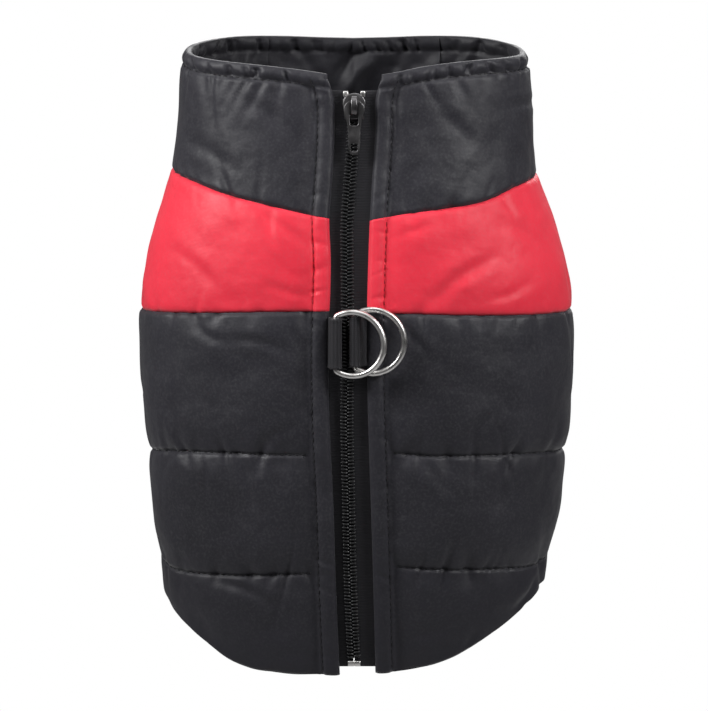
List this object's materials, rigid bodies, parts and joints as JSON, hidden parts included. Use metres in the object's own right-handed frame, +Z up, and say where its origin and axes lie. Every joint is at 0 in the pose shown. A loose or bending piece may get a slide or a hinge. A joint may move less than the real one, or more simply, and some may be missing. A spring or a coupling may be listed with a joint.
{
  "type": "dog coat",
  "caption": "Padded sleeveless dog coat with a coloured shoulder band, a full-length zip along the back, leash rings, leg holes and a rounded tail hem.",
  "frame": {"origin": "in the middle of the hollow, on the wearer's axis at shoulder height, where the wearer's body holds the coat", "axes": "+Z up the coat towards the neck, -Y out of the zip side that lies on the wearer's back, +X to the right as seen from the zip side"},
  "size_m": [0.1863, 0.1253, 0.2659],
  "materials": {
    "black_nylon": "black woven nylon shell with a slight sheen, padded",
    "red_nylon": "coral red woven nylon shell, padded",
    "black_elastic": "black elastic binding",
    "zip_tape": "black woven zip tape",
    "zip_coil": "black nylon coil teeth",
    "gunmetal": "dark gunmetal plating",
    "nickel_steel": "bright nickel plating",
    "black_webbing": "black ribbed webbing"
  },
  "bodies": {
    "coat": {"collar_left": "black_nylon", "collar_right": "black_nylon", "collar_throat": "black_nylon", "yoke_left": "red_nylon", "yoke_right": "red_nylon", "body_left": "black_nylon", "body_right": "black_nylon", "belly_panel": "black_nylon", "leg_binding_left": "black_elastic", "leg_binding_right": "black_elastic", "zip_tape_left": "zip_tape", "zip_tape_right": "zip_tape", "zip_chain": "zip_coil", "slider": "gunmetal", "top_stop_left": "nickel_steel", "top_stop_right": "nickel_steel", "bottom_stop": "nickel_steel", "ring_tab_left": "black_webbing", "ring_tab_right": "black_webbing"},
    "pull": {"pull_tab": "gunmetal"},
    "ring_left": {"d_ring_left": "nickel_steel"},
    "ring_right": {"d_ring_right": "nickel_steel"}
  },
  "joints": [
    {"name": "pull_swing", "type": "hinge", "parent": "coat", "child": "pull", "pos_m": [0.00005, -0.04659, 0.09079], "axis": [-1, 0, 0], "range_deg": [0, 150]},
    {"name": "left_ring_swing", "type": "hinge", "parent": "coat", "child": "ring_left", "pos_m": [-0.00776, -0.05965, -0.01165], "axis": [0, 0, -1], "range_deg": [0, 140]},
    {"name": "right_ring_swing", "type": "hinge", "parent": "coat", "child": "ring_right", "pos_m": [0.0006, -0.05855, -0.01081], "axis": [0, 0, -1], "range_deg": [0, 140]}
  ],
  "couplings": [
    {"joint": "right_ring_swing", "follows": "left_ring_swing", "ratio": 1}
  ]
}
